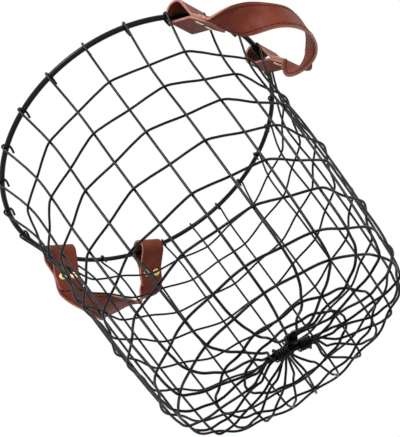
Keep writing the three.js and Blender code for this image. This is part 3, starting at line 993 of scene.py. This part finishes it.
def turn_at(turns, part):
    """How far the strap has turned about its own run, at a part of its way from tab to tab."""
    angles = [0, *(math.radians(t) for t in turns), 0]
    last = len(angles) - 1
    at = min(max(part, 0), 1) * last
    i = min(int(at), last - 1)
    f = at - i
    slope = [0, *((angles[k + 1] - angles[k - 1]) / 2 for k in range(1, last)), 0]
    lead = f * (1 - f) * ((1 - f) * slope[i] - f * slope[i + 1])
    return angles[i] + (angles[i + 1] - angles[i]) * f * f * (3 - 2 * f) + lead


for side, handle in HANDLES.items():
    print(side, "strap is turned", round(math.degrees(turn_at(handle["turns"], 0.5))), "half-way")

# %% Rows of the bow
BOW_OFF_TAB = 1
SPAN_STEPS = 16


def run_lengths(points):
    """Distance along a line of points, from its start to each of them."""
    run = [0]
    for a, b in zip(points, points[1:]):
        run.append(run[-1] + (b - a).length)
    return run


def bow_rows(handle, tabs):
    """Rows from the rivets of one tab to those of the other."""
    outer = [
        [tab @ Vector((x, 0, LAYER)) for x in (RIVET_DOWN, TAB_LENGTH + BOW_OFF_TAB)]
        for tab in tabs
    ]
    reach = handle["reach"]
    between = [Vector((o * reach, y * HALF_SPAN, u * reach)) for o, y, u in handle["bow"]]
    path = [*outer[0], *between, *reversed(outer[1])]
    steps = SPAN_STEPS * (len(path) - 1)
    centres = [along_curve(path, i / steps) for i in range(steps + 1)]
    run = run_lengths(centres)
    leaves, meets = run[SPAN_STEPS], run[steps - SPAN_STEPS]
    faces = [tab.to_3x3() @ Vector((0, 0, 1)) for tab in tabs]
    rows = []
    for i in range(1, steps):
        along = (centres[i + 1] - centres[i - 1]).normalized()
        up = faces[0].lerp(faces[1], run[i] / run[-1])
        up = (up - along * up.dot(along)).normalized()
        flat = up.cross(along)
        turn = turn_at(handle["turns"], (run[i] - leaves) / (meets - leaves))
        rows.append((
            centres[i],
            flat * math.cos(turn) - up * math.sin(turn),
            flat * math.sin(turn) + up * math.cos(turn),
        ))
    return rows


def handle_tabs(handle):
    """Frames of the two tabs of a handle."""
    return [tab_frame(d, y) for d, y in zip(handle["droops"], (-HALF_SPAN, HALF_SPAN))]


for side, handle in HANDLES.items():
    print(side, "bow has", len(bow_rows(handle, handle_tabs(handle))), "rows")

# %% All rows of a strap
SETTLE_PASSES = 24


def settle(rows, start, stop):
    """Ease the free part of a strap: both edges towards their neighbours, then the width again."""
    half = STRAP_WIDTH / 2
    for _ in range(SETTLE_PASSES):
        sides = [[c + w * half * beside for c, w, _ in rows] for beside in (-1, 1)]
        eased = list(rows)
        for i in range(start, stop + 1):
            low, high = ((edge[i - 1] + 2 * edge[i] + edge[i + 1]) / 4 for edge in sides)
            along = rows[i + 1][0] - rows[i - 1][0]
            width = (high - low).normalized()
            eased[i] = ((low + high) / 2, width, along.cross(width).normalized())
        rows = eased
    return rows


def strap_rows(handle):
    """All rows of a strap, and the numbers of the rows between its two rivet lines."""
    tabs = handle_tabs(handle)
    rows = tab_rows(tabs[0])
    first = len(rows) - 1
    rows += bow_rows(handle, tabs)
    last = len(rows)
    rows += [(centre, -width, out) for centre, width, out in reversed(tab_rows(tabs[1]))]
    return settle(rows, first + SPAN_STEPS, last - SPAN_STEPS), first, last


for side, handle in HANDLES.items():
    print(side, "strap has", len(strap_rows(handle)[0]), "rows")

# %% [markdown]
# ## Laying the straps
# A strap is cut flat, so it starts as a flat grid with its map. Then each row of the grid goes to
# its place along the bow. The grid gets both leather materials before Solidify, because Solidify
# gives the second one to the cut edges. A small bevel wears the edges round.

# %% Flat grid and its map
ACROSS = 8
GRID_EDGE = 0.5
PLAIN_TAB = 0.7


def flat_strap(name, run, first, last):
    """A flat grid with a row for each length, and a map that keeps the channel off the tabs."""
    start_fresh()
    bpy.ops.mesh.primitive_grid_add(x_subdivisions=ACROSS, y_subdivisions=len(run) - 1, size=1)
    strap = bpy.context.object
    strap.name = name
    strap_map = strap.data.uv_layers[0]
    strap_map.name = STRAP_MAP
    flat = [v.co.copy() for v in strap.data.vertices]
    number = [round((p.y + GRID_EDGE) * (len(run) - 1)) for p in flat]
    for loop in strap.data.loops:
        v = loop.vertex_index
        across = flat[v].x if first < number[v] < last else flat[v].x * PLAIN_TAB
        strap_map.data[loop.index].uv = (across, run[number[v]] / STRAP_WIDTH)
    return strap, flat, number


print("grid is", ACROSS, "faces wide")

# %% Thickness and worn edges
EDGE_WEAR = 0.45
EDGE_SEGMENTS = 2
EDGE_ANGLE = math.radians(60)


def thicken(strap):
    """Give the sheet its thickness, cut edges of their own material, and worn corners."""
    strap.data.materials.append(leather_face)
    strap.data.materials.append(leather_edge)
    solidify = strap.modifiers.new("leather thickness", "SOLIDIFY")
    solidify.thickness = STRAP_THICKNESS * MM
    solidify.offset = 0
    solidify.use_even_offset = False
    solidify.material_offset_rim = 1
    bpy.ops.object.modifier_apply(modifier=solidify.name)
    rounding = strap.modifiers.new("worn edges", "BEVEL")
    rounding.width = EDGE_WEAR * MM
    rounding.segments = EDGE_SEGMENTS
    rounding.limit_method = "ANGLE"
    rounding.angle_limit = EDGE_ANGLE
    bpy.ops.object.modifier_apply(modifier=rounding.name)
    bpy.ops.object.shade_smooth_by_angle(angle=SMOOTH_ANGLE)


print("leather", STRAP_THICKNESS, "mm thick, edges worn by", EDGE_WEAR, "mm")

# %% Lay both straps
CORNER_ROUND = 5
CORNER_PART = 0.5


def lay_strap(side, handle):
    """Wrap a flat strap along its rows, with rounded corners at its cut ends."""
    rows, first, last = strap_rows(handle)
    run = run_lengths([centre for centre, _, _ in rows])
    strap, flat, number = flat_strap(f"leather_{side}", run, first, last)
    frame_here = handle_frame(handle)
    for vertex, p, i in zip(strap.data.vertices, flat, number):
        centre, width, _ = rows[i]
        to_end = min(run[i], run[-1] - run[i])
        corner = 1 - math.sqrt(1 - max(0, 1 - to_end / CORNER_ROUND) ** 2)
        half = strap_width / 2 - CORNER_ROUND * corner * CORNER_PART
        vertex.co = frame_here @ (centre + width * 2 * p.x * half) * MM
    thicken(strap)
    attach(strap, f"handle_{side}")
    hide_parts(f"strap_{side}")
    print(strap.name, "is", round(run[-1]), "mm long,", len(strap.data.polygons), "faces")


for side, handle in HANDLES.items():
    lay_strap(side, handle)

# %% [markdown]
# ## Brass rivets
# Hollow rivets hold each folded end: a short tube whose two ends are rolled over into round
# flanges. Half of the section is drawn and mirrored, spun once into a rivet and then copied to all
# eight places.

# %% Section of a rivet
RIVET_SHANK = 4.6
RIVET_BORE = 2.8
RIVET_LIP = 0.9
RIVET_HALF = LAYER + STRAP_THICKNESS / 2 + CLEARANCE
FLANGE_EDGE = 0.2
FLANGE_UNDERCUT = 0.25
FLANGE_STEPS = 8


def rivet_section():
    """Closed section, radius and height, from the shank over the flange into the bore."""
    shank, head, bore = RIVET_SHANK / 2, RIVET_HEAD / 2, RIVET_BORE / 2
    middle, half_width = (head + bore) / 2, (head - bore) / 2
    upper = [(shank, RIVET_HALF), (head - FLANGE_UNDERCUT, RIVET_HALF)]
    for i in range(FLANGE_STEPS + 1):
        a = math.pi * i / FLANGE_STEPS
        rise = FLANGE_EDGE + (RIVET_LIP - FLANGE_EDGE) * math.sin(a)
        upper.append((middle + half_width * math.cos(a), RIVET_HALF + rise))
    return upper + [(r, -z) for r, z in reversed(upper)]


section = rivet_section()
print("section of", len(section), "points")

# %% Spin one rivet
RIVET_STEPS = 32
start_fresh()
bpy.ops.mesh.primitive_circle_add(vertices=len(section), radius=RIVET_HEAD * MM)
rivet_model = bpy.context.object
rivet_model.name = "rivet_model"
for vertex, (r, z) in zip(rivet_model.data.vertices, section):
    vertex.co = Vector((r, 0, z)) * MM
spin_round(RIVET_STEPS)
print("rivet", len(rivet_model.data.polygons), "faces")

# %% [markdown]
# ## Brass finish
# Polished brass that has been handled: its tone goes from yellow to pale, and its gloss is a
# little uneven. Both effects come from the mottle group at a scale that shows on a head of 8.6 mm.

# %% Brass
BRASS_DARK = (0.6, 0.42, 0.18, 1)
BRASS_LIGHT = (0.8, 0.62, 0.34, 1)
polished_brass, brass_tree, brass = new_material("polished_brass")
brass_at = add_node(brass_tree, "ShaderNodeTexCoord").outputs["Object"]
brass_tone = wandering_tone(brass_tree, brass_at, BRASS_DARK, BRASS_LIGHT, scale=300)
brass_gloss = place_group(brass_tree, mottle, brass_at, Scale=700, Low=0.2, High=0.38)
feed(brass_tree, brass.inputs["Base Color"], brass_tone)
feed(brass_tree, brass.inputs["Roughness"], brass_gloss)
brass.inputs["Metallic"].default_value = 1
rivet_model.data.materials.append(polished_brass)
print("material", polished_brass.name)

# %% Eight rivets in place
RIVET_SPACING = 13


def delete_model(model):
    """Remove a model once its copies are made."""
    start_fresh()
    model.select_set(True)
    bpy.ops.object.delete()


def set_rivet(side, number, place):
    """Copy the rivet to its place in a strap."""
    start_fresh()
    rivet_model.select_set(True)
    bpy.context.view_layer.objects.active = rivet_model
    bpy.ops.object.duplicate()
    rivet = bpy.context.object
    rivet.name = f"tube_rivet_{side}_{number}"
    rivet.data.transform(place)
    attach(rivet, f"handle_{side}")
    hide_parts(f"rivet_{side}_{number}")


for side, handle in HANDLES.items():
    spots = [(tab, beside) for tab in handle_tabs(handle) for beside in (-1, 1)]
    for number, (tab, beside) in enumerate(spots, 1):
        spot = Matrix.Translation((RIVET_DOWN, beside * RIVET_SPACING / 2, 0))
        place = handle_frame(handle) @ tab @ spot
        place.translation *= MM
        set_rivet(side, number, place)
delete_model(rivet_model)
print("rivets placed:", number * len(HANDLES))

# %% [markdown]
# ## Stitching
# Two lines of dark waxed thread run along the bow of each strap, near its edges, on both faces.
# One stitch is modelled and repeated along the rows, so it can stay at a few dozen faces.

# %% One stitch
STITCH_PITCH = 4.4
STITCH_LENGTH = 3.1
STITCH_THICK = 0.7
STITCH_ROUND = 0.27
start_fresh()
bpy.ops.mesh.primitive_cube_add(size=1)
stitch_model = bpy.context.object
stitch_model.name = "stitch_model"
stitch_model.scale = (STITCH_THICK * MM, STITCH_LENGTH * MM, STITCH_THICK * MM)
bpy.ops.object.transform_apply(location=False, rotation=False, scale=True)
edit_all()
bpy.ops.mesh.bevel(offset=STITCH_ROUND * MM, segments=1, affect="EDGES")
bpy.ops.object.mode_set(mode="OBJECT")
bpy.ops.object.shade_smooth_by_angle(angle=EDGE_ANGLE)
stitch_model.data.materials.append(waxed_thread)
print("stitch", len(stitch_model.data.polygons), "faces")

# %% Places of the stitches
STITCH_RISE = 0.08


def stitches_across(row, following, f):
    """Places of four stitches between two rows: beside both edges, on both faces."""
    centre, width, out = (a.lerp(b, f) for a, b in zip(row, following))
    width.normalize()
    out.normalize()
    places = []
    for beside in (-1, 1):
        to_line = beside * (strap_width / 2 - STITCH_INSET)
        along = (following[0] - row[0] + (following[1] - row[1]) * to_line).normalized()
        up = (out - along * out.dot(along)).normalized()
        turned = Matrix((along.cross(up), along, up)).transposed().to_4x4()
        for face_side in (-1, 1):
            at = centre + width * to_line
            at += up * face_side * (STRAP_THICKNESS / 2 + STITCH_RISE)
            places.append(Matrix.Translation(at) @ turned)
    return places


def stitch_places(handle):
    """Places of all stitches of a strap, evenly spaced from rivets to rivets."""
    rows, first, last = strap_rows(handle)
    run = run_lengths([centre for centre, _, _ in rows])
    start = run[first] + RIVET_HEAD / 2 + STITCH_PITCH
    stop = run[last] - RIVET_HEAD / 2 - STITCH_PITCH
    count = int((stop - start) / STITCH_PITCH)
    places = []
    i = first
    for n in range(count + 1):
        want = start + (stop - start) * n / count
        while run[i + 1] < want:
            i += 1
        f = (want - run[i]) / (run[i + 1] - run[i])
        places += stitches_across(rows[i], rows[i + 1], f)
    return places


stitches = {side: stitch_places(handle) for side, handle in HANDLES.items()}
print("stitches:", {side: len(places) for side, places in stitches.items()})

# %% Sew both straps
TO_METRES = Matrix.Diagonal((MM, MM, MM, 1))
TO_MILLIMETRES = Matrix.Diagonal((1 / MM, 1 / MM, 1 / MM, 1))


def sew_strap(side, places, frame_here):
    """Copy the stitch to all its places and join the copies."""
    start_fresh()
    copies = []
    for place in places:
        stitch = stitch_model.copy()
        stitch.data = stitch_model.data.copy()
        stitch.data.transform(TO_METRES @ frame_here @ place @ TO_MILLIMETRES)
        bpy.context.scene.collection.objects.link(stitch)
        stitch.select_set(True)
        copies.append(stitch)
    bpy.context.view_layer.objects.active = copies[0]
    bpy.ops.object.join()
    sewing = bpy.context.object
    sewing.name = f"stitching_{side}"
    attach(sewing, f"handle_{side}")
    print(sewing.name, len(sewing.data.polygons), "faces")


for side, handle in HANDLES.items():
    sew_strap(side, stitches[side], handle_frame(handle))
delete_model(stitch_model)
